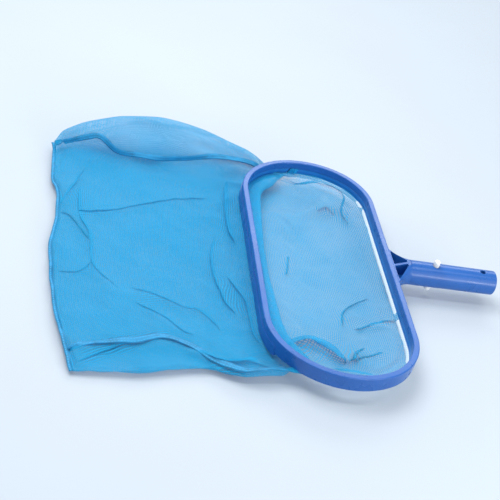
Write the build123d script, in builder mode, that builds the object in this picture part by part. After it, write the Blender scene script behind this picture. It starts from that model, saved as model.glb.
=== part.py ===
from build123d import *

# Leaf skimmer net for a pool pole, in millimetres. The origin is on the pole spigot's axis,
# where its straight wall ends and the rounded rim of its open end starts. +X runs along the
# spigot, the way the pole leaves it, +Y across the mouth, and +Z out of the mouth. The head
# and its bag lie on the -X side.

import os
from math import atan2, cos, pi, radians, sin, sqrt, tan

# Pole spigot
SPIGOT_LENGTH = 123.0  # from the rim to the mouth ring's outer face
SPIGOT_R = 14.0
ROOT_R = 14.2  # a little fuller, so that the pole doesn't rattle
ROOT_START = 65.0  # from the rim
SPIGOT_WALL = 2.6
SPIGOT_RIM = 1.0  # length and rounding of the rim
BORE_DEPTH = 103.0
BUTTON_X = -73.8
BUTTON_R = 3.65
BUTTON_HOLE_R = 4.15
BUTTON_TIP_Z = 21.2
CROSS_HOLE_X = -15.5
CROSS_HOLE_R = 3.3

# Mouth ring: two straight long sides, and two ends that are each three tangent arcs
RING_LENGTH = 166.0  # along X
RING_WIDTH = 386.0  # along Y
LEADING_CORNER_R = 77.0
SPIGOT_CORNER_R = 72.0
CAP_R = 90.0
CAP_OFFSET = 3.4  # of the end arc's centre from the ring's, towards the spigot
RING_Z = 8.0  # half of the ring's depth
RING_WALL = 2.4
RING_EDGE = 1.2  # rounding of the lip's two edges
LIP_WIDTH = 6.8  # of the ring's front, over both of its walls
LIP_THICKNESS = 2.2
INNER_WALL = 2.0
INNER_WALL_END_Z = 0.0  # the channel's inner wall is only half as deep as the outer one
RING_X = -(SPIGOT_LENGTH + RING_LENGTH / 2)
SCRAPER_OUTSET = 0.7  # of the leading edge's scraper band, from the ring's outer face
SCRAPER_TOP_Z = -1.0
SCRAPER_END_Z = -12.0
SCRAPER_HALF_WIDTH = 150.0

# Bracket between the ring and the spigot
BRACKET_SECTIONS = (  # distance from the ring's face, width, height, corner radius
    (-1.2, 66.0, 15.4, 2.0),
    (5.0, 47.0, 18.0, 5.0),
    (13.0, 33.0, 24.0, 10.0),
    (25.0, 27.0, 27.0, 13.0),
)
BRACKET_LENGTH = 19.0  # from the ring's face to where the round spigot starts
POCKET_FLOOR_Z = -4.0
POCKET_RIB = 3.4  # between the two pockets
POCKET_START = 0.6  # from the ring's face
POCKET_WIDTH = 25.0
POCKET_LENGTH = 14.5
POCKET_TIP_WIDTH = 3.0
POCKET_CORNER_R = 0.8

# What holds the net in the ring
TAPE = 0.8  # thickness of the hem tape
TAPE_TOP_Z = 3.0
STRIP = 3.2  # thickness of the retaining strips
STRIP_TOP_Z = -0.6
STRIP_BOTTOM_Z = -7.8
STRIP_EDGE = 0.8  # chamfer of the strips' upper inner edge
GROOVE_Z = -6.4  # lower edge of the groove round the strips
GROOVE_DEPTH = 0.7
GROOVE_HEIGHT = 1.1
STRIP_JOINT_X = -14.0  # of the strips' joints, from the ring's centre
STRIP_GAP = 2.2
STRIP_SLANT = 28.0  # degrees

# Net bag, lying on a flat surface
NET = 0.8  # thickness of the panels
FLOOR_Z = -26.0
FLOOR_INSET = 20.0  # from the ring's outer face to the floor's edge
RING_GAP = 0.05  # between the bag and the ring's outer wall
SEAM_Z = -21.0
SEAM_WIDTH = 6.0
SEAM_THICKNESS = 1.2
POUCH_SECTIONS = (  # x, lowest y, highest y, top z
    (-240.0, -176.0, 176.0, -12.6),
    (-297.0, -186.0, 192.0, -12.6),
    (-312.0, -189.0, 202.0, -2.0),
    (-345.0, -190.0, 214.0, 16.0),
    (-400.0, -194.0, 220.0, 26.0),
    (-450.0, -197.0, 214.0, 20.0),
    (-500.0, -198.0, 192.0, -2.0),
    (-516.0, -196.0, 180.0, -16.0),
)
POUCH_ROUNDING = 0.42  # of a section's corners, as a share of its height

# Spring clip: a V of steel leaf with a stud riveted to each arm
LEAF = 1.2
LEAF_WIDTH = 7.0
LEAF_BEND_X = -29.0
LEAF_BEND_R = 3.2
LEAF_ARM_Z = 9.8
LEAF_END_X = -81.0
LEAF_SPREAD = radians(9.5)  # of each arm from the spigot's axis
RIVET_R = 1.3
RIVET_HEAD_R = 2.6
RIVET_HEAD = 1.0
RIVET_DEPTH = 6.0  # into the stud
BUTTON_DOME = 2.8  # rounding of the stud's tip

HALF_SPACE = 1000.0  # larger than the whole object


# Outlines


def arc(centre, radius, start, end):
    """Draw an arc about centre between two angles in radians."""
    middle = (start + end) / 2
    ThreePointArc(*(centre + Vector(radius * cos(a), radius * sin(a)) for a in (start, middle, end)))


def leading_corner():
    """Centre of the leading corner's arc on the +Y side, from the ring's centre."""
    x = LEADING_CORNER_R - RING_LENGTH / 2
    rise = sqrt((CAP_R - LEADING_CORNER_R) ** 2 - (CAP_OFFSET - x) ** 2)
    return Vector(x, RING_WIDTH / 2 - CAP_R + rise)


def spigot_corner():
    """Centre of the spigot-side corner's arc on the +Y side, from the ring's centre."""
    x = RING_LENGTH / 2 - SPIGOT_CORNER_R
    rise = sqrt((CAP_R - SPIGOT_CORNER_R) ** 2 - (CAP_OFFSET - x) ** 2)
    return Vector(x, RING_WIDTH / 2 - CAP_R + rise)


def ring_outline(inset, mode=Mode.ADD):
    """Fill the ring's outline, inset from its outer face, in the sketch that is open."""
    cap = Vector(CAP_OFFSET, RING_WIDTH / 2 - CAP_R)
    leading, spigot = leading_corner(), spigot_corner()
    leading_angle = atan2(leading.Y - cap.Y, leading.X - cap.X)
    spigot_angle = atan2(spigot.Y - cap.Y, spigot.X - cap.X)
    half = RING_LENGTH / 2 - inset
    with BuildLine() as outline:
        Line((half, 0), (half, spigot.Y))
        arc(spigot, SPIGOT_CORNER_R - inset, 0, spigot_angle)
        arc(cap, CAP_R - inset, spigot_angle, leading_angle)
        arc(leading, LEADING_CORNER_R - inset, leading_angle, pi)
        Line((-half, leading.Y), (-half, 0))
        mirror(about=Plane.XZ)
    make_face(outline.edges(), mode=mode)


def ring_section(z, outer, inner=None):
    """The ring's plan at height z, between two insets, or filled where inner isn't given."""
    with BuildSketch(Plane((RING_X, 0, z))) as section:
        ring_outline(outer)
        if inner is not None:
            ring_outline(inner, mode=Mode.SUBTRACT)
    return section.sketch


def tray_section(z, shrink=0.0):
    """The bag's plan under the ring, which narrows from the ring's rear edge to the floor."""
    slope = (FLOOR_INSET - RING_WALL) / (FLOOR_Z + RING_Z)
    return ring_section(z, RING_WALL + RING_GAP + slope * (z + RING_Z) + shrink)


def pouch_section(x, low_y, high_y, top_z, shrink=0.0):
    """A cross-section of the bag beyond the leading edge, made smaller by shrink all round."""
    height = top_z - FLOOR_Z - 2 * shrink
    width = high_y - low_y - 2 * shrink
    inward = 1 if x < -SPIGOT_LENGTH - RING_LENGTH else -1
    centre = (x + inward * shrink, (low_y + high_y) / 2, (top_z + FLOOR_Z) / 2)
    with BuildSketch(Plane(centre, x_dir=(0, 1, 0), z_dir=(1, 0, 0))) as section:
        RectangleRounded(width, height, POUCH_ROUNDING * height)
    return section.sketch


# Frame moulding: ring, scraper band, bracket and spigot in one piece

with BuildPart() as pockets:
    start_x = -SPIGOT_LENGTH + POCKET_START
    with BuildSketch(Plane.XY.offset(POCKET_FLOOR_Z)):
        with BuildLine():
            Polyline(
                (start_x, POCKET_RIB / 2),
                (start_x, POCKET_RIB / 2 + POCKET_WIDTH),
                (start_x + POCKET_LENGTH, POCKET_RIB / 2 + POCKET_TIP_WIDTH),
                (start_x + POCKET_LENGTH, POCKET_RIB / 2),
                close=True,
            )
        make_face()
    extrude(amount=2 * SPIGOT_R)
    fillet(pockets.edges().filter_by(Axis.Z), radius=POCKET_CORNER_R)
    mirror(about=Plane.XZ)

with BuildPart() as bracket:
    for face_distance, width, height, corner_r in BRACKET_SECTIONS:
        origin = (face_distance - SPIGOT_LENGTH, 0, 0)
        with BuildSketch(Plane(origin, x_dir=(0, 1, 0), z_dir=(1, 0, 0))):
            RectangleRounded(width, height, corner_r)
    loft()

with BuildPart() as scraper:
    scraper_plan = ring_section(SCRAPER_END_Z, -SCRAPER_OUTSET, RING_WALL)
    extrude(scraper_plan, amount=SCRAPER_TOP_Z - SCRAPER_END_Z)
    with Locations((RING_X, 0, 0)):
        Box(
            RING_LENGTH,
            2 * SCRAPER_HALF_WIDTH,
            4 * RING_Z,
            align=(Align.MAX, Align.CENTER, Align.CENTER),
            mode=Mode.INTERSECT,
        )

with BuildPart() as frame_moulding:
    extrude(ring_section(-RING_Z, 0, RING_WALL), amount=2 * RING_Z)
    extrude(ring_section(RING_Z, 0, LIP_WIDTH), amount=-LIP_THICKNESS)
    inner_wall_plan = ring_section(INNER_WALL_END_Z, LIP_WIDTH - INNER_WALL, LIP_WIDTH)
    extrude(inner_wall_plan, amount=RING_Z - INNER_WALL_END_Z)
    fillet(frame_moulding.faces().sort_by(Axis.Z)[-1].edges(), radius=RING_EDGE)
    add(scraper.part)
    add(bracket.part)
    with BuildSketch(Plane.YZ.offset(SPIGOT_RIM)):
        Circle(SPIGOT_R)
    extrude(amount=-(SPIGOT_RIM + ROOT_START))
    with BuildSketch(Plane.YZ.offset(-ROOT_START)):
        Circle(ROOT_R)
    extrude(amount=-(SPIGOT_LENGTH - BRACKET_LENGTH - ROOT_START))
    fillet(frame_moulding.faces().sort_by(Axis.X)[-1].edges(), radius=SPIGOT_RIM)
    with BuildSketch(Plane.YZ.offset(SPIGOT_RIM)):
        Circle(SPIGOT_R - SPIGOT_WALL)
    extrude(amount=-(SPIGOT_RIM + BORE_DEPTH), mode=Mode.SUBTRACT)
    add(pockets.part, mode=Mode.SUBTRACT)
    with Locations((BUTTON_X, 0, 0)):
        Cylinder(BUTTON_HOLE_R, 4 * SPIGOT_R, mode=Mode.SUBTRACT)
    with Locations((CROSS_HOLE_X, 0, 0)):
        Cylinder(CROSS_HOLE_R, 4 * SPIGOT_R, mode=Mode.SUBTRACT)


# Hem tape and the two retaining strips that clamp it in the ring

with BuildPart() as hem_tape:
    extrude(ring_section(-RING_Z, RING_WALL, RING_WALL + TAPE), amount=TAPE_TOP_Z + RING_Z)

with BuildPart() as strip_band:
    strip_inset = RING_WALL + TAPE
    strip_height = STRIP_TOP_Z - STRIP_BOTTOM_Z
    extrude(ring_section(STRIP_BOTTOM_Z, strip_inset, strip_inset + STRIP), amount=strip_height)
    top_wires = strip_band.faces().sort_by(Axis.Z)[-1].inner_wires()
    chamfer(top_wires[0].edges(), length=STRIP_EDGE)
    groove_inset = strip_inset + STRIP - GROOVE_DEPTH
    groove_plan = ring_section(GROOVE_Z, groove_inset, groove_inset + STRIP)
    extrude(groove_plan, amount=GROOVE_HEIGHT, mode=Mode.SUBTRACT)


def strip_half(direction):
    """The strips' band on one side of the two slanted joints, 1 towards the spigot."""
    joint_x = RING_X + STRIP_JOINT_X + direction * STRIP_GAP / 2
    joint_z = (STRIP_TOP_Z + STRIP_BOTTOM_Z) / 2
    joint = Plane((joint_x, 0, joint_z)).rotated((0, STRIP_SLANT, 0))
    with BuildPart() as half:
        add(strip_band.part)
        cut = Plane(joint.origin, z_dir=joint.x_dir * direction)
        split(bisect_by=cut, keep=Keep.TOP)
    return half


spigot_side_strip = strip_half(1)
leading_side_strip = strip_half(-1)


# Net bag: a shell that is open at the mouth, in two panels sewn along the sides and the end

with BuildPart() as bag_solid:
    loft([tray_section(FLOOR_Z), tray_section(-RING_Z)], ruled=True)
    loft([pouch_section(*section) for section in POUCH_SECTIONS], ruled=True)

with BuildPart() as bag_hollow:
    loft([tray_section(FLOOR_Z + NET, NET), tray_section(-RING_Z + NET, NET)], ruled=True)
    loft([pouch_section(*section, NET) for section in POUCH_SECTIONS], ruled=True)

with BuildPart() as upper_zone:
    with Locations((RING_X, 0, SEAM_Z)):
        Box(HALF_SPACE, HALF_SPACE, HALF_SPACE, align=(Align.MAX, Align.CENTER, Align.MIN))

with BuildPart() as net_upper_panel:
    add(bag_solid.part)
    add(bag_hollow.part, mode=Mode.SUBTRACT)
    add(upper_zone.part, mode=Mode.INTERSECT)

with BuildPart() as net_lower_panel:
    add(bag_solid.part)
    add(bag_hollow.part, mode=Mode.SUBTRACT)
    add(upper_zone.part, mode=Mode.SUBTRACT)

with BuildPart() as seam_allowance:
    free_sections = POUCH_SECTIONS[2:]
    end_x = free_sections[-1][0] - SEAM_WIDTH
    high_side = [(x, high + SEAM_WIDTH) for x, low, high, top in free_sections]
    low_side = [(x, low - SEAM_WIDTH) for x, low, high, top in free_sections]
    with BuildSketch(Plane.XY.offset(SEAM_Z - SEAM_THICKNESS / 2)):
        with BuildLine():
            end_corners = [(end_x, high_side[-1][1]), (end_x, low_side[-1][1])]
            Polyline(*high_side, *end_corners, *reversed(low_side), close=True)
        make_face()
    extrude(amount=SEAM_THICKNESS)
    add(bag_solid.part, mode=Mode.SUBTRACT)


def side_seam(direction):
    """The seam allowance along one side, 1 for the +Y side."""
    with BuildPart() as seam:
        add(seam_allowance.part)
        align_y = Align.MIN if direction > 0 else Align.MAX
        with Locations((POUCH_SECTIONS[-1][0], 0, SEAM_Z)):
            Box(
                HALF_SPACE,
                HALF_SPACE,
                HALF_SPACE,
                align=(Align.MIN, align_y, Align.CENTER),
                mode=Mode.INTERSECT,
            )
    return seam


left_side_seam = side_seam(1)
right_side_seam = side_seam(-1)

with BuildPart() as end_seam:
    add(seam_allowance.part)
    split(bisect_by=Plane.YZ.offset(POUCH_SECTIONS[-1][0]), keep=Keep.BOTTOM)


# Spring clip in the spigot

with BuildPart() as clip_spring:
    with BuildSketch(Plane.XZ):
        with BuildLine():
            arm_x = LEAF_BEND_X + LEAF_BEND_R * sin(LEAF_SPREAD)
            arm_z = LEAF_BEND_R * cos(LEAF_SPREAD)
            knee_x = arm_x - (LEAF_ARM_Z - arm_z) / tan(LEAF_SPREAD)
            ThreePointArc((arm_x, arm_z), (LEAF_BEND_X + LEAF_BEND_R, 0), (arm_x, -arm_z))
            for side in (1, -1):
                Polyline(
                    (arm_x, side * arm_z),
                    (knee_x, side * LEAF_ARM_Z),
                    (LEAF_END_X, side * LEAF_ARM_Z),
                )
        trace(line_width=LEAF)
    extrude(amount=LEAF_WIDTH / 2, both=True)
    with Locations((BUTTON_X, 0, 0)):
        Cylinder(RIVET_R, 4 * SPIGOT_R, mode=Mode.SUBTRACT)


def clip_button(direction):
    """A domed stud that stands on one arm, 1 for the upper arm."""
    base_z = LEAF_ARM_Z + LEAF / 2
    with BuildPart() as button:
        with BuildSketch(Plane((BUTTON_X, 0, base_z))):
            Circle(BUTTON_R)
        extrude(amount=BUTTON_TIP_Z - base_z)
        fillet(button.edges().sort_by(Axis.Z)[-1], radius=BUTTON_DOME)
        with Locations((BUTTON_X, 0, base_z)):
            Cylinder(
                RIVET_R,
                RIVET_DEPTH,
                align=(Align.CENTER, Align.CENTER, Align.MIN),
                mode=Mode.SUBTRACT,
            )
        if direction < 0:
            mirror(about=Plane.XY, mode=Mode.REPLACE)
    return button


def clip_rivet(direction):
    """The rivet that goes through one arm into its stud, 1 for the upper arm."""
    head_z = LEAF_ARM_Z - LEAF / 2
    shank = LEAF + RIVET_DEPTH
    with BuildPart() as rivet:
        with BuildSketch(Plane((BUTTON_X, 0, head_z))):
            Circle(RIVET_R)
        extrude(amount=shank)
        with BuildSketch(Plane((BUTTON_X, 0, head_z))):
            Circle(RIVET_HEAD_R)
        extrude(amount=-RIVET_HEAD)
        if direction < 0:
            mirror(about=Plane.XY, mode=Mode.REPLACE)
    return rivet


upper_button, lower_button = clip_button(1), clip_button(-1)
upper_rivet, lower_rivet = clip_rivet(1), clip_rivet(-1)


# One STEP file for each piece

PIECES = {
    "frame_moulding": frame_moulding,
    "hem_tape": hem_tape,
    "spigot_side_strip": spigot_side_strip,
    "leading_side_strip": leading_side_strip,
    "net_upper_panel": net_upper_panel,
    "net_lower_panel": net_lower_panel,
    "left_side_seam": left_side_seam,
    "right_side_seam": right_side_seam,
    "end_seam": end_seam,
    "clip_spring": clip_spring,
    "upper_button": upper_button,
    "lower_button": lower_button,
    "upper_rivet": upper_rivet,
    "lower_rivet": lower_rivet,
}

os.makedirs("parts", exist_ok=True)
for name, piece in PIECES.items():
    piece.part.label = name
    export_step(piece.part, f"parts/{name}.step")
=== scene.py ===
"""Leaf skimmer net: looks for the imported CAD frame, and a net bag settled by cloth simulation."""

from math import atan2, cos, exp, pi, radians, sin, sqrt, tanh

import bmesh
import bpy
from mathutils import Euler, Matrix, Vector, noise


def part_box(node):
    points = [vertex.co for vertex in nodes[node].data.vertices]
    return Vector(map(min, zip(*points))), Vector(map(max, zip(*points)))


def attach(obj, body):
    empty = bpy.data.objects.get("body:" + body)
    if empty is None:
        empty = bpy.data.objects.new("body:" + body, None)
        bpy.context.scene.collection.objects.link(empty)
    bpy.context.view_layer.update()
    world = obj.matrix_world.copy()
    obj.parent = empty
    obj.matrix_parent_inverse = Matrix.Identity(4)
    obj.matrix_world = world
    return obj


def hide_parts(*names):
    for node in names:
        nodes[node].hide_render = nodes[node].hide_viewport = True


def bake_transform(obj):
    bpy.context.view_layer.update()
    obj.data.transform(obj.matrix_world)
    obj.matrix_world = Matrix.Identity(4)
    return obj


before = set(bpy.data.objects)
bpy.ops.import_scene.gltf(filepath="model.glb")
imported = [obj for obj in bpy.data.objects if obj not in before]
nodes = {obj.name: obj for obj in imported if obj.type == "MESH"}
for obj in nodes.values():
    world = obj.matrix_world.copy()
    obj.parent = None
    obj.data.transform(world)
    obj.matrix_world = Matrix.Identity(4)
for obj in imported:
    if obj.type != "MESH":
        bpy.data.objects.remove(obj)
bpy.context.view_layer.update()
scene = bpy.context.scene

MM = 0.001

# Mouth ring, as in the CAD: two long sides, and two ends of three tangent arcs each
RING_LENGTH = 166 * MM
RING_WIDTH = 386 * MM
LEADING_CORNER_R = 77 * MM
SPIGOT_CORNER_R = 72 * MM
CAP_R = 90 * MM
CAP_OFFSET = 3.4 * MM
RING_X = -206 * MM
RING_WALL = 2.4 * MM
RING_REAR_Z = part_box("hem_tape")[0].z
SCRAPER_Z = -12 * MM
FLOOR_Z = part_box("net_lower_panel")[0].z

# Net bag: a tube of netting sewn flat at its end
COLUMNS = 128
ROWS = 48
HALF = COLUMNS // 2
MOUTH_INSET = 4.6 * MM
MOUTH_Z = -7.4 * MM
CUT_WIDTH = 478 * MM  # of each panel at the mouth
CUT_TAPER = 68 * MM  # how much narrower the end is
CUT_DEPTH = 352 * MM  # along the side seams
CUT_SLANT = 48 * MM  # the lower panel is deeper at its middle, and the upper shallower, by this
CUT_GAP = 0.4 * MM  # between each panel of the cut and its middle plane
LAYER = 1.2 * MM
TUCK = 20 * MM  # how far the upper layer folds into the mouth before it turns back
TUCK_WAVE = 4 * MM
TUCK_WAVE_TURN = 9  # radians of the wave from the +Y to the -Y edge
TUCK_EASE = 8  # the tuck grows over the first eighth of the way, and fades over the last
TUCK_PATH = ((0.6, -12 * MM), (1, -16 * MM), (1.05, -18 * MM), (0.8, -20 * MM))  # share of it, and z
UPPER_START = 4 * MM  # from the mouth to where each layer takes up the bag's section
LOWER_START = 12 * MM
LOWER_DROP_Z = -16 * MM  # the lower layer drops almost straight from the mouth to here
LOWER_DROP_STEP = 1 * MM
LOWER_DROP_SCALE = 0.99
SIDE_EASE = 160 * MM  # over which a column moves from its place on the mouth to the section's
PATH_STEPS = 40
SECTION_STEPS = 100
# The taper grows with the cube of the depth, so it takes off a quarter of itself on average
SKIRT_INSET = 19 * MM  # how much narrower the bag is on the floor than the ring
SKIRT_HIGH_X = -226 * MM  # where the bag comes out from under the ring on each side
SKIRT_LOW_X = -262 * MM
MIDDLE_HEIGHT = 8.5 * MM  # between the two layers where the bag lies flat
# Degrees round the roll: where both layers start, and where the upper and the lower leave it
ROLL_START = 10
ROLL_OVER = 205
ROLL_UNDER = -90
ROLL_FOOT = 1.6  # radii from the roll's centre to where the upper layer lies flat
# x, outermost y and radius of the puffed roll along the +Y side, in millimetres
HIGH_SIDE = (
    (-203, 183, 4),
    (-221, 190, 5),
    (-231, 211, 11),
    (-240, 218, 14),
    (-250, 223, 16),
    (-270, 232, 20),
    (-300, 233, 22),
    (-330, 235, 25),
    (-390, 235, 26),
    (-440, 227, 24),
    (-480, 217, 18),
    (-505, 204, 12),
    (-517, 178, 4),
)
# The same for the flat fold along the -Y side
LOW_SIDE = (
    (-203, -162, 4),
    (-250, -162, 4),
    (-270, -171, 4),
    (-286, -178, 6),
    (-308, -185, 6),
    (-324, -180, 6),
    (-340, -172, 5),
    (-360, -176, 5),
    (-415, -190, 5),
    (-476, -194, 2),
)
# Share of the way from the +Y to the -Y corner of the end seam, and its x in millimetres
END_LINE = (
    (0, -514),
    (0.06, -511),
    (0.24, -509),
    (0.33, -502),
    (0.44, -501),
    (0.54, -506),
    (0.68, -502),
    (0.82, -494),
    (0.91, -484),
    (1, -476),
)
# The stiff bound edges keep near their starting shape while the netting settles
STEADY_COLUMNS = (0, 1, 2, 3, 4, HALF - 1, HALF, HALF + 1)
STEADY_ROWS = range(10, ROWS)
STEADY_HOLD = 0.3

# Colliders and length of the cloth simulation
COLLIDER_POINTS = 96
COLLIDER_MARGIN = 0.5 * MM
COLLIDER_TOP_Z = 8 * MM
SCRAPER_DEPTH = 20 * MM  # how far the scraper edge reaches back from the leading edge
SCRAPER_HALF_WIDTH = 150 * MM
SKIRT_POINTS = 192
SKIRT_SINK = 1 * MM  # how far the skirt goes into the floor
GROUND_REACH = 1
SETTLE_FRAMES = 70
FLOOR_GAP = 0.4 * MM  # the least height of the netting above the floor

# Bound seams: the side seams' way over the net, as row and column
HIGH_SEAM = (
    (3, 4),
    (9, 5.2),
    (13.5, 6.2),
    (16.5, 7),
    (20.5, 9.2),
    (27, 10.8),
    (34, 10.5),
    (36.5, 8.5),
    (38.5, 6.5),
    (41, 6.6),
    (45, 5.5),
    (48, 2),
)
LOW_SEAM = (
    (3, 62.5),
    (23.5, 63),
    (25, 61),
    (26, 58.5),
    (27.5, 57),
    (30, 55.8),
    (32, 55.5),
    (36, 57),
    (41, 57.6),
    (45, 58.5),
    (48, 59.5),
)
SEAM_STEPS = 160
SEAM_WIDTH = 7 * MM
END_SEAM_WIDTH = 4 * MM
SEAM_THICKNESS = 1.1 * MM
SEAM_LIFT = 1.2 * MM
SEAM_TWIST = radians(28)
SEAM_WAVES = 3
SEAM_ROWS = range(3, ROWS + 1)
SEAM_FLOOR_GAP = 0.8 * MM
END_SEAM_TILT = 0.25  # how far the end seam tips to and fro
END_SEAM_WAVE = 5  # steps to a radian of that tipping
END_SEAM_OVERHANG = 0.3  # share of its width beyond the net
TAPE_COLUMNS = 4
TAPE_CROWN = 0.25  # height of a tape's middle beside its thickness

# Hem round the mouth: inset and z of its profile, in millimetres
HEM_PROFILE = ((2.8, 3.0), (2.8, -2.6), (2.8, -8.2), (5.6, -8.6), (7.6, -10.2), (8.5, -11.8))
HEM_POINTS = 384
HEM_RIPPLE = 0.35 * MM  # of the free edge
HEM_RIPPLE_TURN = 0.9  # radians from one point to the next
HEM_FIRM_LEVELS = 4  # the profile's levels that don't ripple
HEM_LENGTH = 0.95
HEM_LEVEL_WIDTH = 3.4 * MM
HEM_THICKNESS = 0.6 * MM

# The tuft of netting at the strips' joint
STRIP_THICKNESS = 3.2 * MM
TUFT_X = -216 * MM
TUFT_WIDTH = 11 * MM
TUFT_HEIGHT = 9 * MM
TUFT_TOP_Z = 0.5 * MM
TUFT_COLUMNS = 16
TUFT_ROWS = 10
TUFT_GAP = 1.1 * MM  # to the strip's inner wall
TUFT_BULGE = 1.2 * MM
TUFT_LEAN = 3 * MM  # of the top towards +X
TUFT_FRAY = 1.3 * MM  # of the top edge

# The clip spring's arms are cut into even slices between here and the buttons, where the real arms
# flex
SPRING_START_X = -32 * MM
SPRING_END_X = -70 * MM
SPRING_CUTS = 16

# Colours and the weave
NET_COLOUR = (0.003, 0.32, 0.62)
NET_DEEP = (0.002, 0.28, 0.56)
NET_THREAD = (0.005, 0.37, 0.69)
NET_PITCH = 1.9 * MM
THREAD_EDGE = (0.3, 0.42)  # pitches from a hole's middle to where a thread begins, and is full
NET_HOLE_ALPHA = 0.22
NET_THREAD_ALPHA = 0.92
FRAME_COLOUR = (0.014, 0.115, 0.42)
FRAME_DEEP = (0.010, 0.095, 0.37)
STRIP_COLOUR = (0.015, 0.19, 0.56)
STRIP_DEEP = (0.01, 0.15, 0.48)
TAPE_COLOUR = (0.003, 0.28, 0.58)
TAPE_THREAD = (0.02, 0.38, 0.70)
# Pale colours painted on the hem's pole side as the highlight along its lit edge
HEM_PAINTED_HIGHLIGHT_COLOUR = (0.68, 0.82, 0.90)
HEM_PAINTED_HIGHLIGHT_THREAD = (0.90, 0.95, 0.98)
HEM_CYAN_X = -240 * MM  # the hem is cyan on the leading side, and painted pale on the pole side as a highlight along its lit edge
HEM_PAINTED_HIGHLIGHT_X = -212 * MM
FLOOR_PALE = (0.52, 0.58, 0.64)
FLOOR_DIM = (0.50, 0.56, 0.62)
BUTTON_COLOUR = (0.88, 0.88, 0.86)
BUTTON_BASE_DARK = (0.5, 0.5, 0.52)
BASE_DARK_LOW_Z = 14 * MM  # the buttons' darker colour fades out from the spigot's wall to here
BASE_DARK_HIGH_Z = 17 * MM
NOISE_LOW = 0.3  # where nearly all of the noise lies
NOISE_HIGH = 0.7
STEEL_COLOUR = (0.6, 0.6, 0.62)
RIVET_COLOUR = (0.78, 0.78, 0.8)
SKY_COLOUR = (0.86, 0.92, 1, 1)
SKY_STRENGTH = 0.55

# Pitches of the woven tapes
RIB_PITCH = 0.9 * MM
STITCH_PITCH = 3.2 * MM
STITCH_SHARE = 0.62  # of the pitch that has thread
ROW_PITCH = 3.4 * MM  # across the tape, with one row of stitches in each
ROW_HALF = 0.13  # half of the stitches' width, as a share of it

# Folds
FOLD_RISE = 0.55  # share of the rises in the table that the folds keep
FOLD_WIDTH = 1.2  # of a fold beside its depth
FOLD_REACH = 5  # widths to each side of a fold that it moves
FOLD_PULL = 2.33  # makes the steepest pull larger than the step, so that the layer turns over
FOLD_STEEPNESS = 2
FOLD_TAIL = 3  # widths over which the lifted side comes down again
FOLD_EASE = 5  # a fold grows over its first fifth, and fades over its last
CURVE_STEPS = 12

# Fine wrinkles all over the net, which fade out towards its sewn mouth
RIDGES_PER_METRE = 26
RIDGE_HEIGHT = 2 * MM
WAVES_PER_METRE = 75
WAVE_HEIGHT = 0.7 * MM
CRUMPLE_DEPTH = 8 * MM

# Creases where the net is folded over itself: layer, depth, rise, and x and y of points along it,
# in millimetres
FOLDS = (
    ("upper", 4.5, 2.5, ((-502, 51), (-491, 90), (-478, 132), (-470, 150))),
    ("upper", 4.5, 2.5, ((-502, 52), (-476, 52), (-441, 68), (-403, 89), (-369, 105), (-315, 120))),
    ("upper", 5.5, 3, ((-477, 130), (-476, 52), (-462, 15), (-462, -17), (-455, -44), (-425, -82))),
    ("upper", 4, 2, ((-502, 52), (-485, 39), (-462, 0))),
    ("upper", 4, 2, ((-499, -56), (-475, -53), (-460, -33))),
    ("upper", 6, 3, ((-433, -66), (-398, -71), (-366, -85), (-349, -87), (-335, -106), (-328, -128))),
    ("upper", 5, 3, ((-422, -88), (-389, -103), (-366, -126), (-352, -133))),
    ("upper", 5, 2.5, ((-477, -194), (-466, -178), (-438, -156), (-407, -144), (-370, -134))),
    ("upper", 6, 3, ((-320, -20), (-299, -67), (-296, -97), (-294, -121), (-285, -145))),
    ("upper", 9, 4, ((-298, 172), (-303, 131), (-305, 70), (-300, 20))),
    ("upper", 6, 3, ((-350, -158), (-319, -163), (-290, -155))),
    ("upper", 5, 3, ((-318, 60), (-330, 0), (-322, -60), (-306, -100))),
    (
        "lower",
        5.5,
        2.5,
        ((-225, 172), (-181, 176), (-158, 166), (-151, 150), (-155, 133), (-150, 114), (-140, 122)),
    ),
    ("lower", 4, 2, ((-190, 120), (-176, 130), (-163, 122))),
    (
        "lower",
        13,
        6,
        ((-266, -134), (-248, -117), (-232, -115), (-216, -123), (-207, -134), (-199, -152)),
    ),
    ("lower", 4.5, 2, ((-200, -152), (-187, -129), (-169, -113))),
    ("lower", 4.5, 2, ((-196, -148), (-177, -133), (-150, -122))),
    ("lower", 5.5, 3, ((-182, -88), (-152, -74), (-138, -73), (-131, -80))),
    ("lower", 4, 2, ((-192, -90), (-187, -62), (-172, -43), (-146, -29))),
    ("lower", 3.5, 2, ((-245, -12), (-240, 10), (-236, 34))),
)

# Studio: name, place, where it points, size and watts of each light
SOFTBOXES = (
    ("key", (-0.9, 0.5, 1.5), (-0.3, 0, 0), (1.2, 0.9), 20),
    ("back", (0.2, 1.7, 1.15), (-0.25, 0, 0), (1.6, 0.7), 14),
    ("overhead", (-0.1, -0.15, 1.3), (-0.1, -0.03, 0), (1.3, 0.14), 5),
    ("fill", (0.8, -1.0, 0.9), (-0.25, 0, 0), (1, 0.8), 4),
    ("strip", (0.34, -0.88, 0.27), (-0.06, 0, 0), (0.9, 0.07), 4.5),
)
FLOOR_REACH = 20
# Camera at the photograph's angle, in metres and degrees
CAMERA_PLACE = (-0.5353, -0.8692, 0.6485)
CAMERA_TURN = (53.197, -13.586, -5.767)
CAMERA_SENSOR_MM = 36
CAMERA_LENS_MM = 72.695


# Outlines and curves


def smooth(t):
    """Ease from 0 to 1 for t from 0 to 1."""
    t = min(max(t, 0), 1)
    return t * t * (3 - 2 * t)


def look_up(table, key):
    """The values a table gives at a key, in between its rows too."""
    rows = sorted(table)
    if key <= rows[0][0]:
        return rows[0][1:]
    for low, high in zip(rows, rows[1:]):
        if key <= high[0]:
            share = (key - low[0]) / (high[0] - low[0])
            return [a + (b - a) * share for a, b in zip(low[1:], high[1:])]
    return rows[-1][1:]


def follow(table, x):
    """The values of a table in millimetres at x, all in metres."""
    return [value * MM for value in look_up(table, x / MM)]


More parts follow.
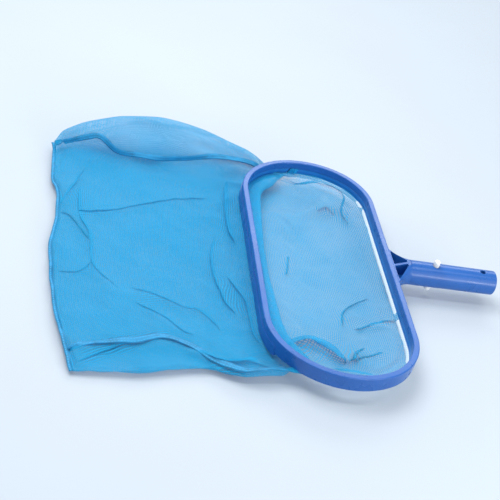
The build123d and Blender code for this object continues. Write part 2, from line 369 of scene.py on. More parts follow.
def spread(points, count, closed=False):
    """count points evenly spaced along a run of points."""
    points = list(points) + ([points[0]] if closed else [])
    lengths = [(b - a).length for a, b in zip(points, points[1:])]
    step = sum(lengths) / (count if closed else count - 1)
    result, index, passed = [], 0, 0.0
    for k in range(count):
        goal = k * step
        while index < len(lengths) - 1 and passed + lengths[index] < goal:
            passed += lengths[index]
            index += 1
        share = (goal - passed) / max(lengths[index], 1e-9)
        result.append(points[index].lerp(points[index + 1], min(share, 1)))
    return result


def smooth_run(points, count, steps=4):
    """Even points along a smooth curve through a run of points."""
    ends = [2 * points[0] - points[1]] + points + [2 * points[-1] - points[-2]]
    run = []
    for a, b, c, d in zip(ends, ends[1:], ends[2:], ends[3:]):
        for k in range(steps):
            t = k / steps
            bend = 2 * b + (c - a) * t + (2 * a - 5 * b + 4 * c - d) * t**2
            run.append((bend + (3 * b - a - 3 * c + d) * t**3) / 2)
    return spread(run + [points[-1]], count)


def ring_outline(inset, count):
    """Points round the ring at an inset, from its +Y end over the leading edge."""
    cap = Vector((CAP_OFFSET, RING_WIDTH / 2 - CAP_R))

    def corner(radius, side):
        """The centre of a corner's arc, 1 for the pole side and -1 for the leading side."""
        x = side * (RING_LENGTH / 2 - radius)
        rise = sqrt((CAP_R - radius) ** 2 - (CAP_OFFSET - x) ** 2)
        return Vector((x, cap.y + rise))

    def arc(centre, radius, start, end):
        """Points along an arc from one turn to another."""
        turns = [start + (end - start) * k / 24 for k in range(25)]
        return [centre + (radius - inset) * Vector((cos(a), sin(a))) for a in turns]

    leading, spigot = corner(LEADING_CORNER_R, -1), corner(SPIGOT_CORNER_R, 1)
    leading_turn = atan2(leading.y - cap.y, leading.x - cap.x)
    spigot_turn = atan2(spigot.y - cap.y, spigot.x - cap.x)
    front = arc(cap, CAP_R, pi / 2, leading_turn) + arc(leading, LEADING_CORNER_R, leading_turn, pi)
    back = arc(cap, CAP_R, pi / 2, spigot_turn) + arc(spigot, SPIGOT_CORNER_R, spigot_turn, 0)
    flipped = [[Vector((p.x, -p.y)) for p in side] for side in (front, back)]
    loop = front + flipped[0][::-1] + flipped[1][1:] + back[::-1][:-1]
    return [Vector((p.x + RING_X, p.y)) for p in spread(loop, count, closed=True)]


# Meshes


def add_mesh(name, points, faces):
    """A new object made of points and faces."""
    mesh = bpy.data.meshes.new(name)
    mesh.from_pydata(points, [], faces)
    made = bpy.data.objects.new(name, mesh)
    scene.collection.objects.link(made)
    return made


def grid_faces(rows, columns):
    """Faces of a grid whose points run along its rows."""
    corners = ((row * (columns + 1) + column) for row in range(rows) for column in range(columns))
    return [(first, first + 1, first + columns + 2, first + columns + 1) for first in corners]


def grid_finish(piece, layer_name, columns, place):
    """Shade a grid smooth, and give it UVs by place(row, column)."""
    mesh = piece.data
    layer = mesh.uv_layers.new(name=layer_name)
    for face in mesh.polygons:
        face.use_smooth = True
        for loop in face.loop_indices:
            layer.data[loop].uv = place(*divmod(mesh.loops[loop].vertex_index, columns + 1))


def baked(piece):
    """The piece's mesh with its modifiers applied."""
    return bpy.data.meshes.new_from_object(piece.evaluated_get(bpy.context.evaluated_depsgraph_get()))


# Net bag


def bag_section(x, upper):
    """The bag's cross-section at x, from its +Y edge to its -Y edge, over or under."""
    high_y, roll = follow(HIGH_SIDE, x)
    low_y, fold = follow(LOW_SIDE, x)
    roll_centre = Vector((high_y - roll, FLOOR_Z + roll + LAYER))
    fold_centre = Vector((low_y + fold, FLOOR_Z + fold + LAYER))
    middle_z = FLOOR_Z + min(MIDDLE_HEIGHT, 2 * roll, 2 * fold) + LAYER
    turn = ROLL_OVER if upper else ROLL_UNDER
    arc = [radians(ROLL_START + (turn - ROLL_START) * k / 16) for k in range(17)]
    points = [roll_centre + roll * Vector((cos(a), sin(a))) for a in arc]
    if upper:
        points.append(Vector((roll_centre.x - ROLL_FOOT * roll, middle_z)))
        points.append(Vector((fold_centre.x, middle_z)))
    quarter = 90 if upper else -90
    arc = [radians(quarter + quarter * k / 8) for k in range(9)]
    points += [fold_centre + fold * Vector((cos(a), sin(a))) for a in arc]
    return points


def end_x(share):
    """x of the end seam at a share of its length from the +Y corner."""
    return look_up(END_LINE, share)[0] * MM


def column_path(mouth, inward, share, upper):
    """Points down one column of the net, from the ring to the end seam."""
    path = [Vector((mouth.x, mouth.y, MOUTH_Z))]
    if upper:
        tuck = TUCK + TUCK_WAVE * sin(TUCK_WAVE_TURN * share)
        tuck = tuck * smooth(TUCK_EASE * share) * smooth(TUCK_EASE - TUCK_EASE * share)
        for out, z in TUCK_PATH:
            path.append(Vector((mouth.x + inward.x * tuck * out, mouth.y + inward.y * tuck * out, z)))
        start_x = mouth.x - UPPER_START
    else:
        path.append(Vector((mouth.x - LOWER_DROP_STEP, mouth.y * LOWER_DROP_SCALE, LOWER_DROP_Z)))
        start_x = mouth.x - LOWER_START
    stop_x = end_x(share)
    for k in range(PATH_STEPS + 1):
        x = start_x + (stop_x - start_x) * k / PATH_STEPS
        at = spread(bag_section(x, upper), SECTION_STEPS + 1)[round(SECTION_STEPS * share)]
        y = mouth.y + (at.x - mouth.y) * smooth((start_x - x) / SIDE_EASE)
        path.append(Vector((x, y, at.y)))
    return path


def net_columns():
    """(share of the way from +Y to -Y, whether it is on the upper side) of each column."""
    for column in range(COLUMNS):
        upper = column <= HALF
        yield (column if upper else COLUMNS - column) / HALF, upper


def cut_width(t):
    """The width of each panel of the cut, for t from 0 at the mouth to 1 at the end."""
    return CUT_WIDTH - CUT_TAPER * t**3


def cut_point(share, upper, row):
    """Where a point of the net lies in its flat cut."""
    t = row / ROWS
    width = cut_width(t)
    side = 1 if upper else -1
    depth = CUT_DEPTH - side * CUT_SLANT * sin(pi * share)
    return Vector((depth * (1 - t), width * (0.5 - share), CUT_GAP * side * sin(pi * share)))


def build_net():
    """The net as a tube mesh in its starting shape, with its cut as a second shape key."""
    mouth = ring_outline(MOUTH_INSET, COLUMNS)
    columns = list(net_columns())
    points, cuts, index = [], [], {}
    for column, (share, upper) in enumerate(columns):
        before, after = mouth[column - 1], mouth[(column + 1) % COLUMNS]
        along = (after - before).normalized()
        inward = Vector((-along.y, along.x))
        path = spread(column_path(mouth[column], inward, share, upper), ROWS + 1)
        for row in range(ROWS + 1):
            if row == ROWS and column > HALF:
                index[column, row] = index[COLUMNS - column, row]
                continue
            index[column, row] = len(points)
            points.append(path[row])
            cuts.append(cut_point(share, upper, row))
    faces, corners = [], []
    for row in range(ROWS):
        for column in range(COLUMNS):
            beside = (column + 1) % COLUMNS
            face = [(column, row), (column, row + 1), (beside, row + 1), (beside, row)]
            faces.append([index[c] for c in face])
            wrapped = column + 1 if beside == 0 else beside
            corners += [(column, row), (column, row + 1), (wrapped, row + 1), (wrapped, row)]
    net = add_mesh("net_bag", points, faces)
    mesh = net.data
    layer = mesh.uv_layers.new(name="cut")
    for loop, (column, row) in zip(layer.data, corners):
        t = row / ROWS
        loop.uv = (cut_width(t) * column / HALF, CUT_DEPTH * t)
    side = mesh.attributes.new("side", "FLOAT", "POINT")
    for (column, row), at in index.items():
        side.data[at].value = 1 if 0 < column < HALF else -1
    net.shape_key_add(name="start")
    cut = net.shape_key_add(name="cut")
    for point, at in zip(cut.data, cuts):
        point.co = at
    return net, index


def collider(name, points, faces):
    """An object that the cloth doesn't pass through."""
    body = add_mesh(name, points, faces)
    body.modifiers.new("solid", "COLLISION")
    body.collision.thickness_outer = 1 * MM
    body.collision.cloth_friction = 12
    body.collision.damping = 0.5
    return body


def ring_collider():
    """The ring's outer wall as a closed band."""
    outer = ring_outline(-COLLIDER_MARGIN, COLLIDER_POINTS)
    inner = ring_outline(RING_WALL, COLLIDER_POINTS)
    points, faces = [], []
    for a, b in zip(outer, inner):
        leading = a.x < RING_X - RING_LENGTH / 2 + SCRAPER_DEPTH and abs(a.y) < SCRAPER_HALF_WIDTH
        low = SCRAPER_Z if leading else RING_REAR_Z
        points += [(a.x, a.y, low), (a.x, a.y, COLLIDER_TOP_Z)]
        points += [(b.x, b.y, COLLIDER_TOP_Z), (b.x, b.y, low)]
    for k in range(len(outer)):
        for side in range(4):
            this, following = 4 * k, 4 * ((k + 1) % len(outer))
            other = (side + 1) % 4
            faces.append((this + side, following + side, following + other, this + other))
    return collider("ring_collider", points, faces)


def skirt_collider():
    """Keeps the net under the ring, where the bag narrows to the floor."""
    top, low = ring_outline(0, SKIRT_POINTS), ring_outline(SKIRT_INSET, SKIRT_POINTS)
    points, faces = [], []
    for a, b in zip(top, low):
        points += [(a.x, a.y, RING_REAR_Z), (b.x, b.y, FLOOR_Z - SKIRT_SINK)]
    for k, a in enumerate(top):
        following = (k + 1) % len(top)
        if a.x > (SKIRT_HIGH_X if a.y > 0 else SKIRT_LOW_X):
            faces.append((2 * k, 2 * following, 2 * following + 1, 2 * k + 1))
    return collider("skirt_collider", points, faces)


def hold(net, index):
    """Say how firmly each point of the net is held in the simulation."""
    held = net.vertex_groups.new(name="held")
    held.add([index[column, 0] for column in range(COLUMNS)], 1, "REPLACE")
    held.add([index[column, ROWS] for column in range(HALF + 1)], 1, "REPLACE")
    steady = [index[column, row] for column in STEADY_COLUMNS for row in STEADY_ROWS]
    held.add(steady, STEADY_HOLD, "REPLACE")


def square(reach):
    """The corners of a square on the floor."""
    corners = ((-reach, -reach), (reach, -reach), (reach, reach), (-reach, reach))
    return [(x, y, FLOOR_Z) for x, y in corners]


def cloth_settings(net):
    """Make the net a thin, limp cloth that meets itself and the colliders."""
    cloth = net.modifiers.new("cloth", "CLOTH")
    settings = cloth.settings
    settings.vertex_group_mass = "held"
    settings.rest_shape_key = net.data.shape_keys.key_blocks["cut"]
    settings.quality = 6
    settings.mass = 0.02
    settings.air_damping = 4
    settings.tension_stiffness = 8
    settings.compression_stiffness = 8
    settings.shear_stiffness = 1.5
    settings.bending_stiffness = 0.05
    settings.tension_damping = 6
    settings.compression_damping = 6
    settings.shear_damping = 3
    settings.bending_damping = 1
    settings.effector_weights.gravity = 0.3
    touch = cloth.collision_settings
    touch.distance_min = 1.2 * MM
    touch.collision_quality = 3
    touch.use_self_collision = True
    touch.self_distance_min = 1.5 * MM
    cloth.point_cache.frame_start = 1
    cloth.point_cache.frame_end = SETTLE_FRAMES


def settle(net, index):
    """Let the net fall and wrinkle from its starting shape, and apply the result."""
    hold(net, index)
    ground = collider("ground_collider", square(GROUND_REACH), [(0, 1, 2, 3)])
    solids = [ground, ring_collider(), skirt_collider()]
    cloth_settings(net)
    scene.frame_start, scene.frame_end = 1, SETTLE_FRAMES
    for number in range(1, SETTLE_FRAMES + 1):
        scene.frame_set(number)
    settled = baked(net)
    net.modifiers.clear()
    net.shape_key_clear()
    net.data = settled
    for solid in solids:
        bpy.data.objects.remove(solid)


def pleat(points, ranks, fold):
    """Fold a layer of the net over itself along a curve, by moving its points."""
    layer, depth, rise, corners = fold
    depth *= MM
    width = FOLD_WIDTH * depth
    line = smooth_run([Vector((x * MM, y * MM)) for x, y in corners], 40, CURVE_STEPS)
    reach = FOLD_REACH * width
    low_x, high_x = min(p.x for p in line) - reach, max(p.x for p in line) + reach
    low_y, high_y = min(p.y for p in line) - reach, max(p.y for p in line) + reach
    for k, (point, rank) in enumerate(zip(points, ranks)):
        if (rank > 0) != (layer == "upper"):
            continue
        if not (low_x < point.x < high_x and low_y < point.y < high_y):
            continue
        flat = Vector((point.x, point.y))
        nearest = min(range(len(line)), key=lambda n: (line[n] - flat).length_squared)
        if nearest in (0, len(line) - 1):
            continue
        along = (line[nearest + 1] - line[nearest - 1]).normalized()
        across = Vector((-along.y, along.x))
        off = (flat - line[nearest]).dot(across)
        if abs(off) > reach:
            continue
        along_it = FOLD_EASE * nearest / len(line)
        fade = smooth(along_it) * smooth(FOLD_EASE - along_it)
        share = off / width
        pull = -FOLD_PULL * depth * fade * share * exp(-(share**2))
        lift = 0.5 + 0.5 * tanh(FOLD_STEEPNESS * share)
        settle_down = exp(-((max(share, 0) / FOLD_TAIL) ** 2))
        point.x += across.x * pull
        point.y += across.y * pull
        point.z += FOLD_RISE * rise * MM * fade * lift * settle_down


def refine(net):
    """Subdivide the settled net."""
    finer = net.modifiers.new("finer", "SUBSURF")
    finer.levels = finer.render_levels = 2
    finer.boundary_smooth = "PRESERVE_CORNERS"
    fine = baked(net)
    net.modifiers.clear()
    net.data = fine


def crumple(point, rank):
    """How far the net's fine wrinkles lift a point: soft ridges, and smaller waves over them."""
    ridge = 1 - 2 * abs(noise.noise(Vector((point.x, point.y, rank)) * RIDGES_PER_METRE))
    wave = noise.noise(Vector((point.y, point.x, rank)) * WAVES_PER_METRE)
    return RIDGE_HEIGHT * ridge + WAVE_HEIGHT * wave


def fold_net(net):
    """Fold and crumple the net, and keep it above the floor."""
    mesh = net.data
    points = [v.co.copy() for v in mesh.vertices]
    side = mesh.attributes["side"].data
    ranks = [side[k].value for k in range(len(points))]
    for fold in FOLDS:
        pleat(points, ranks, fold)
    for vertex, point, rank in zip(mesh.vertices, points, ranks):
        below_mouth = smooth((MOUTH_Z - point.z) / CRUMPLE_DEPTH)
        point.z = max(point.z + below_mouth * crumple(point, rank), FLOOR_Z + FLOOR_GAP)
        vertex.co = point
    mesh.update()


net, index = build_net()
settle(net, index)
refine(net)
fold_net(net)
for polygon in net.data.polygons:
    polygon.use_smooth = True

# Seams and hem


def ribbon(name, middles, sides, ups, width, thickness):
    """A flat tape along a run of points, with its length and width as its UVs in metres."""
    points, lengths = [], [0.0]
    for a, b in zip(middles, middles[1:]):
        lengths.append(lengths[-1] + (b - a).length)
    for middle, side, up in zip(middles, sides, ups):
        for k in range(TAPE_COLUMNS + 1):
            share = k / TAPE_COLUMNS - 0.5
            crown = TAPE_CROWN * thickness * cos(pi * share)
            points.append(middle + side * width * share + up * crown)
    tape = add_mesh(name, points, grid_faces(len(middles) - 1, TAPE_COLUMNS))
    grid_finish(tape, "tape", TAPE_COLUMNS, lambda row, k: (lengths[row], width * k / TAPE_COLUMNS))
    solid = tape.modifiers.new("thickness", "SOLIDIFY")
    solid.thickness = thickness
    solid.offset = 0
    return tape


def on_net(row, column):
    """Where the net is at a row and a point between two columns, and which way it faces."""
    first = int(column)
    a, b = (net.data.vertices[index[k, row]] for k in (first, first + 1))
    facing = a.normal.lerp(b.normal, column - first)
    return a.co.lerp(b.co, column - first), -facing if facing.z < 0 else facing


def side_seam(name, path, lean):
    """The bound seam down one side of the net, with a slow twist."""
    run = [on_net(row, look_up(path, row)[0]) for row in SEAM_ROWS]
    places = soften([place for place, facing in run], 2)
    outward = soften([facing for place, facing in run], 4)
    middles = smooth_run(places, SEAM_STEPS)
    ups = [v.normalized() for v in smooth_run(outward, SEAM_STEPS)]
    middles = [m + up * SEAM_LIFT for m, up in zip(middles, ups)]
    sides, tilted = [], []
    for k in range(SEAM_STEPS):
        before, after = middles[max(k - 1, 0)], middles[min(k + 1, SEAM_STEPS - 1)]
        along = (after - before).normalized()
        across = along.cross(ups[k]).normalized()
        turn = lean + SEAM_TWIST * sin(SEAM_WAVES * k / SEAM_STEPS * 2 * pi)
        sides.append(across * cos(turn) + ups[k] * sin(turn))
        tilted.append(ups[k] * cos(turn) - across * sin(turn))
    seam = ribbon(name, middles, sides, tilted, SEAM_WIDTH, SEAM_THICKNESS)
    keep_above_floor(seam)
    return seam


def soften(run, times=1):
    """A run of vectors, each but the ends averaged with its neighbours."""
    for turn in range(times):
        middle = [(a + 2 * b + c) / 4 for a, b, c in zip(run, run[1:], run[2:])]
        run = [run[0], *middle, run[-1]]
    return run


def keep_above_floor(piece):
    """Lift the points of a piece that would go into the floor."""
    for vertex in piece.data.vertices:
        vertex.co.z = max(vertex.co.z, FLOOR_Z + SEAM_FLOOR_GAP)


def end_seam():
    """The bound seam that closes the end of the bag."""
    mesh = net.data
    places = [mesh.vertices[index[column, ROWS]].co.copy() for column in range(1, HALF + 1)]
    middles = smooth_run(places, SEAM_STEPS)
    sides, ups = [], []
    for k in range(SEAM_STEPS):
        before, after = middles[max(k - 1, 0)], middles[min(k + 1, SEAM_STEPS - 1)]
        along = (after - before).normalized()
        up = Vector((END_SEAM_TILT * sin(k / END_SEAM_WAVE), 0, 1)).normalized()
        sides.append(up.cross(along).normalized())
        ups.append(up)
    middles = [m - side * END_SEAM_WIDTH * END_SEAM_OVERHANG for m, side in zip(middles, sides)]
    seam = ribbon("end_seam_tape", middles, sides, ups, END_SEAM_WIDTH, SEAM_THICKNESS)
    keep_above_floor(seam)
    return seam


def mouth_hem():
    """The hem tape round the mouth, whose edge shows under the retaining strips, painted pale on the
    pole side as a highlight.
    """
    points, faces = [], []
    rings = [ring_outline(inset * MM, HEM_POINTS) for inset, z in HEM_PROFILE]
    for k in range(HEM_POINTS):
        for level, (ring, (inset, z)) in enumerate(zip(rings, HEM_PROFILE)):
            ripple = HEM_RIPPLE * sin(k * HEM_RIPPLE_TURN) * smooth(level - HEM_FIRM_LEVELS)
            points.append(Vector((ring[k].x, ring[k].y, z * MM + ripple)))
    levels = len(HEM_PROFILE)
    for k in range(HEM_POINTS):
        beside = (k + 1) % HEM_POINTS
        for level in range(levels - 1):
            first, other = k * levels + level, beside * levels + level
            faces.append((first, first + 1, other + 1, other))
    hem = add_mesh("mouth_hem", points, faces)
    mesh = hem.data
    layer = mesh.uv_layers.new(name="tape")
    for face_index, face in enumerate(mesh.polygons):
        face.use_smooth = True
        k, level = divmod(face_index, levels - 1)
        spots = ((k, level), (k, level + 1), (k + 1, level + 1), (k + 1, level))
        for loop, (along, down) in zip(face.loop_indices, spots):
            layer.data[loop].uv = (HEM_LENGTH * along / HEM_POINTS, HEM_LEVEL_WIDTH * down)
    solid = hem.modifiers.new("thickness", "SOLIDIFY")
    solid.thickness = HEM_THICKNESS
    return hem


def net_tuft():
    """A crumpled end of netting that sticks out at the strips' joint on the +Y side."""
    wall_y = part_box("leading_side_strip")[1].y - STRIP_THICKNESS
    points = []
    for row in range(TUFT_ROWS + 1):
        down = row / TUFT_ROWS
        for column in range(TUFT_COLUMNS + 1):
            across = column / TUFT_COLUMNS - 0.5
            # a little wider and more ruffled at the foot, and frayed and leaning at the top
            x = TUFT_X + TUFT_WIDTH * across * (0.8 + 0.4 * down) + TUFT_LEAN * (1 - down)
            ruffle = (0.5 + 0.6 * down) * MM * sin(11 * across + 3 * down)
            y = wall_y - TUFT_GAP - TUFT_BULGE * sin(pi * down) + ruffle
            z = TUFT_TOP_Z - TUFT_HEIGHT * down + TUFT_FRAY * sin(19 * across) * (1 - down)
            points.append(Vector((x, y, z)))
    tuft = add_mesh("net_tuft", points, grid_faces(TUFT_ROWS, TUFT_COLUMNS))
    grid_finish(
        tuft,
        "cut",
        TUFT_COLUMNS,
        lambda row, column: (TUFT_WIDTH * column / TUFT_COLUMNS, TUFT_HEIGHT * row / TUFT_ROWS),
    )
    finer = tuft.modifiers.new("finer", "SUBSURF")
    finer.levels = finer.render_levels = 1
    return tuft


def spring_arm(name, side):
    """One arm of the clip spring, from the bend's middle to its button: side 1 is the upper arm."""
    shape = bmesh.new()
    shape.from_mesh(nodes["clip_spring"].data)
    shape.transform(nodes["clip_spring"].matrix_world)
    whole = [*shape.verts, *shape.edges, *shape.faces]
    middle = (0, 0, 0)
    bmesh.ops.bisect_plane(shape, geom=whole, plane_co=middle, plane_no=(0, 0, side), clear_inner=True)
    for cut in range(1, SPRING_CUTS):
        x = SPRING_START_X + (SPRING_END_X - SPRING_START_X) * cut / SPRING_CUTS
        whole = [*shape.verts, *shape.edges, *shape.faces]
        bmesh.ops.bisect_plane(shape, geom=whole, plane_co=(x, 0, 0), plane_no=(1, 0, 0))
    mesh = bpy.data.meshes.new(name)
    shape.to_mesh(mesh)
    shape.free()
    arm = bpy.data.objects.new(name, mesh)
    scene.collection.objects.link(arm)
    return arm


upper_arm = spring_arm("upper_spring_arm", 1)
lower_arm = spring_arm("lower_spring_arm", -1)
upper_seam = side_seam("high_side_seam_tape", HIGH_SEAM, radians(10))
lower_seam = side_seam("low_side_seam_tape", LOW_SEAM, radians(-10))
bottom_seam = end_seam()
hem = mouth_hem()
tuft = net_tuft()


# Materials


class Finish:
    """A procedural material under construction."""

    def __init__(self, name, colour, roughness):
        self.material = bpy.data.materials.new(name)
        self.material.use_nodes = True
        self.tree = self.material.node_tree
        self.shader = self.tree.nodes["Principled BSDF"]
        self.set("Base Color", (*colour, 1))
        self.set("Roughness", roughness)

    def set(self, socket, value):
        """Set a value that is the same all over."""
        self.shader.inputs[socket].default_value = value

    def drive(self, socket, source):
        """Let a node's output set one of the shader's values."""
        self.link(source, self.shader.inputs[socket])

    def node(self, kind, **settings):
        """A new node, with some of its inputs or properties set."""
        made = self.tree.nodes.new(kind)
        for key, value in settings.items():
            if key in made.inputs:
                made.inputs[key].default_value = value
            else:
                setattr(made, key, value)
        return made

    def link(self, source, target):
        """Join a node's output to another's input."""
        self.tree.links.new(source, target)

    def place(self, scale=(1, 1, 1)):
        """Points in the object's own space, in metres, times a scale along each axis."""
        coordinates = self.node("ShaderNodeTexCoord")
        mapping = self.node("ShaderNodeMapping", Scale=scale)
        self.link(coordinates.outputs["Object"], mapping.inputs["Vector"])
        return mapping.outputs["Vector"]

    def uv(self):
        """The piece's own UVs, in metres, as separate axes."""
        coordinates = self.node("ShaderNodeTexCoord")
        return self.axes(coordinates.outputs["UV"])[:2]

    def axes(self, vector):
        """The X, Y and Z of a vector."""
        split = self.node("ShaderNodeSeparateXYZ")
        self.link(vector, split.inputs["Vector"])
        return [split.outputs[axis] for axis in "XYZ"]

    def noise(self, vector, scale, detail=2.0):
        """Smooth noise with about this many lumps to the metre."""
        made = self.node("ShaderNodeTexNoise", Scale=scale, Detail=detail)
        self.link(vector, made.inputs["Vector"])
        return made.outputs["Fac"]

    def math(self, operation, first, second=None):
        """The result of a sum on one or two outputs or numbers."""
        made = self.node("ShaderNodeMath", operation=operation)
        for socket, value in zip(made.inputs, (first, second)):
            if isinstance(value, (int, float)):
                socket.default_value = value
            elif value is not None:
                self.link(value, socket)
        return made.outputs["Value"]

    def between(self, factor, low, high, from_low=0.0, from_high=1.0):
        """A value from low to high while the factor goes from from_low to from_high."""
        made = self.node("ShaderNodeMapRange")
        self.link(factor, made.inputs["Value"])
        made.inputs["From Min"].default_value = from_low
        made.inputs["From Max"].default_value = from_high
        made.inputs["To Min"].default_value = low
        made.inputs["To Max"].default_value = high
        return made.outputs["Result"]

    def stretch(self, noise, low=0, high=1):
        """Noise, which keeps near a half, made to run from low to high."""
        return self.between(noise, low, high, NOISE_LOW, NOISE_HIGH)

    def blend(self, factor, first, second):
        """A colour between two, by a factor."""
        made = self.node("ShaderNodeMix", data_type="RGBA")
        self.link(factor, made.inputs["Factor"])
        for socket, colour in (("A", first), ("B", second)):
            target = next(i for i in made.inputs if i.name == socket and i.type == "RGBA")
            if isinstance(colour, tuple):
                target.default_value = (*colour, 1)
            else:
                self.link(colour, target)
        return next(o for o in made.outputs if o.type == "RGBA")

    def bump(self, height, strength, distance):
        """Let a height stand out from the surface by up to a distance."""
        made = self.node("ShaderNodeBump", Strength=strength, Distance=distance)
        self.link(height, made.inputs["Height"])
        self.link(made.outputs["Normal"], self.shader.inputs["Normal"])


def threads(finish, pitch):
    """How near a point is to the middle of a thread of a square weave, along its UVs."""
    masks = []
    for axis in finish.uv():
        turn = finish.math("FRACT", finish.math("MULTIPLY", axis, 1 / pitch))
        masks.append(finish.math("ABSOLUTE", finish.math("SUBTRACT", turn, 0.5)))
    return finish.math("MAXIMUM", *masks)


def netting_finish():
    """Fine woven netting, see-through between its threads, with a soft sheen."""
    finish = Finish("netting", NET_COLOUR, 0.42)
    thread = finish.between(threads(finish, NET_PITCH), 0, 1, *THREAD_EDGE)
    cloudy = finish.noise(finish.place(), 22, 3)
    fine = finish.noise(finish.place(), 900, 1)
    tint = finish.blend(finish.stretch(cloudy), NET_COLOUR, NET_DEEP)
    colour = finish.blend(thread, tint, NET_THREAD)
    finish.drive("Base Color", colour)
    alpha = finish.between(thread, NET_HOLE_ALPHA, NET_THREAD_ALPHA)
    alpha = finish.math("ADD", alpha, finish.stretch(cloudy, -0.05, 0.05))
    finish.drive("Alpha", alpha)
    finish.drive("Roughness", finish.between(fine, 0.5, 0.7))
    finish.set("Specular IOR Level", 0.2)
    finish.bump(thread, 0.25, 0.15 * MM)
    finish.set("Sheen Weight", 0.4)
    finish.set("Sheen Roughness", 0.4)
    finish.set("Sheen Tint", (0.45, 0.85, 1, 1))
    return finish.material


def binding_finish(name, colour, thread_colour, leading_colour=None):
    """Woven tape with a row of stitches, in another colour on the leading side if one is given."""
    finish = Finish(name, colour, 0.6)
    along, across = finish.uv()
    ribs = finish.math("SINE", finish.math("MULTIPLY", along, 2 * pi / RIB_PITCH))
    stitch = finish.math("FRACT", finish.math("MULTIPLY", along, 1 / STITCH_PITCH))
    dash = finish.math("LESS_THAN", stitch, STITCH_SHARE)
    row = finish.math("FRACT", finish.math("MULTIPLY", across, 1 / ROW_PITCH))
    off_row = finish.math("ABSOLUTE", finish.math("SUBTRACT", row, 0.5))
    near = finish.math("LESS_THAN", off_row, ROW_HALF)
    sewn = finish.math("MULTIPLY", dash, near)
    shade = finish.noise(finish.place(), 160, 3)
    # for the hem, the colour away from the leading side is a painted highlight
    if leading_colour:
        side = finish.between(finish.axes(finish.place())[0], 0, 1, HEM_CYAN_X, HEM_PAINTED_HIGHLIGHT_X)
        colour = finish.blend(side, leading_colour, colour)
        thread_colour = finish.blend(side, leading_colour, thread_colour)
        deep = colour
    else:
        deep = tuple(0.62 * c for c in colour)
    base = finish.blend(finish.stretch(shade), colour, deep)
    finish.drive("Base Color", finish.blend(sewn, base, thread_colour))
    finish.bump(finish.math("ADD", finish.math("MULTIPLY", ribs, 0.3), sewn), 0.5, 0.2 * MM)
    finish.set("Sheen Weight", 0.1)
    return finish.material


def plastic_finish(name, colour, deep, roughness, grain):
    """Moulded polypropylene: fine grain, faint flow clouds, and lighter rubbed patches."""
    finish = Finish(name, colour, roughness)
    flow = finish.noise(finish.place(), 34, 4)
    rub = finish.noise(finish.place(), 45, 2)
    speck = finish.noise(finish.place(), 600, 2)
    base = finish.blend(finish.stretch(flow), colour, deep)
    worn = tuple(1.25 * c for c in colour)
    scuffed = finish.blend(finish.between(rub, 0, 0.4, 0.4, 0.8), base, worn)
    finish.drive("Base Color", scuffed)
    finish.drive("Roughness", finish.stretch(rub, roughness - 0.04, roughness + 0.06))
    finish.bump(finish.math("ADD", speck, finish.math("MULTIPLY", flow, 0.6)), grain, 0.12 * MM)
    return finish.material


def metal_finish(name, colour, roughness, streaks):
    """Metal with fine lines from drawing or turning."""
    finish = Finish(name, colour, roughness)
    finish.set("Metallic", 1.0)
    lines = finish.noise(finish.place(streaks), 1, 3)
    dark = tuple(0.7 * c for c in colour)
    finish.drive("Base Color", finish.blend(lines, colour, dark))
    finish.drive("Roughness", finish.between(lines, roughness - 0.08, roughness + 0.14))
    finish.bump(lines, 0.15, 0.05 * MM)
    return finish.material


def button_finish():
    """White acetal, darker in patches near its base at the spigot's wall."""
    finish = Finish("button_plastic", BUTTON_COLOUR, 0.24)
    cloud = finish.noise(finish.place(), 500, 4)
    height = finish.math("ABSOLUTE", finish.axes(finish.place())[2])
    # darker near the spigot's wall, in noisy patches
    worn = finish.between(height, 1, 0, BASE_DARK_LOW_Z, BASE_DARK_HIGH_Z)
    base_darkening = finish.math("MULTIPLY", worn, finish.between(cloud, 0.3, 0.9, 0.35, 0.65))
    finish.drive("Base Color", finish.blend(base_darkening, BUTTON_COLOUR, BUTTON_BASE_DARK))
    finish.drive("Roughness", finish.stretch(cloud, 0.18, 0.36))
    finish.bump(cloud, 0.1, 0.05 * MM)
    return finish.material


frame_blue = plastic_finish("frame_plastic", FRAME_COLOUR, FRAME_DEEP, 0.29, 0.07)
strip_blue = plastic_finish("strip_plastic", STRIP_COLOUR, STRIP_DEEP, 0.3, 0.05)
cyan_tape = binding_finish("seam_binding", TAPE_COLOUR, TAPE_THREAD)
# the hem's pale colour on the pole side is a painted highlight
hem_painted_highlight_tape = binding_finish("hem_binding_painted_highlight", HEM_PAINTED_HIGHLIGHT_COLOUR, HEM_PAINTED_HIGHLIGHT_THREAD, TAPE_COLOUR)
spring_steel = metal_finish("spring_steel", STEEL_COLOUR, 0.3, (60, 2500, 2500))
aluminium = metal_finish("rivet_metal", RIVET_COLOUR, 0.28, (1800, 1800, 300))
acetal = button_finish()

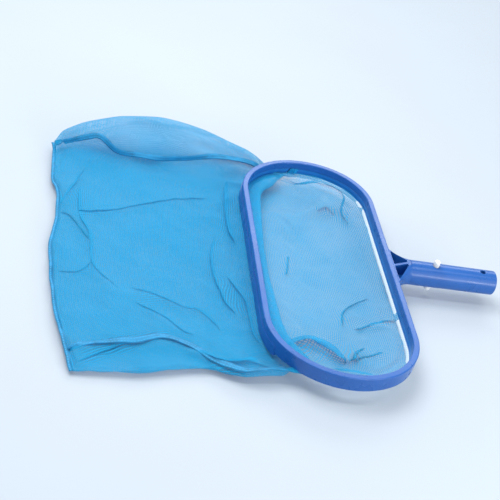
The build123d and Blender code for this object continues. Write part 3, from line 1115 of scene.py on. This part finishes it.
FINISHES = {
    "frame_moulding": frame_blue,
    "spigot_side_strip": strip_blue,
    "leading_side_strip": strip_blue,
    "upper_rivet": aluminium,
    "lower_rivet": aluminium,
    "upper_button": acetal,
    "lower_button": acetal,
}
for name, finish in FINISHES.items():
    for socket in nodes[name].material_slots:
        socket.material = finish
netting = netting_finish()
for piece, finish, slot in (
    (net, netting, "netting"),
    (tuft, netting, "netting"),
    (upper_seam, cyan_tape, "binding"),
    (lower_seam, cyan_tape, "binding"),
    (bottom_seam, cyan_tape, "binding"),
    (hem, hem_painted_highlight_tape, "binding"),
):
    piece.data.materials.clear()
    piece.data.materials.append(finish)
    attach(piece, "head")

for arm, button in ((upper_arm, "upper_button"), (lower_arm, "lower_button")):
    arm.data.materials.clear()
    arm.data.materials.append(spring_steel)
    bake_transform(arm)
    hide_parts("clip_spring")

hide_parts("net_upper_panel", "net_lower_panel")
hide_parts("left_side_seam")
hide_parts("right_side_seam")
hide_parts("end_seam")
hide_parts("hem_tape")


# Studio

floor = add_mesh("floor", square(FLOOR_REACH), [(0, 1, 2, 3)])
floor_finish = Finish("pale_floor", FLOOR_PALE, 0.7)
floor_cloud = floor_finish.noise(floor_finish.place(), 3, 4)
floor_tint = floor_finish.blend(floor_finish.stretch(floor_cloud), FLOOR_PALE, FLOOR_DIM)
floor_finish.drive("Base Color", floor_tint)
floor.data.materials.append(floor_finish.material)

world = bpy.data.worlds.new("studio")
scene.world = world
world.use_nodes = True
sky = world.node_tree.nodes["Background"]
sky.inputs["Color"].default_value = SKY_COLOUR
sky.inputs["Strength"].default_value = SKY_STRENGTH


def softbox(name, place, aim, size, power):
    """A rectangular light, unseen by the camera."""
    lamp = bpy.data.lights.new(name, "AREA")
    lamp.shape = "RECTANGLE"
    lamp.size, lamp.size_y = size
    lamp.energy = power
    holder = bpy.data.objects.new(name, lamp)
    scene.collection.objects.link(holder)
    holder.location = place
    holder.visible_camera = False
    direction = Vector(aim) - Vector(place)
    holder.rotation_euler = direction.to_track_quat("-Z", "Y").to_euler()


for light in SOFTBOXES:
    softbox(*light)

scene.view_settings.view_transform = "Standard"
camera_data = bpy.data.cameras.new("camera")
camera = bpy.data.objects.new("camera", camera_data)
scene.collection.objects.link(camera)
camera_data.sensor_width = CAMERA_SENSOR_MM
camera_data.lens = CAMERA_LENS_MM
camera.location = CAMERA_PLACE
camera.rotation_euler = Euler([radians(turn) for turn in CAMERA_TURN])
scene.camera = camera
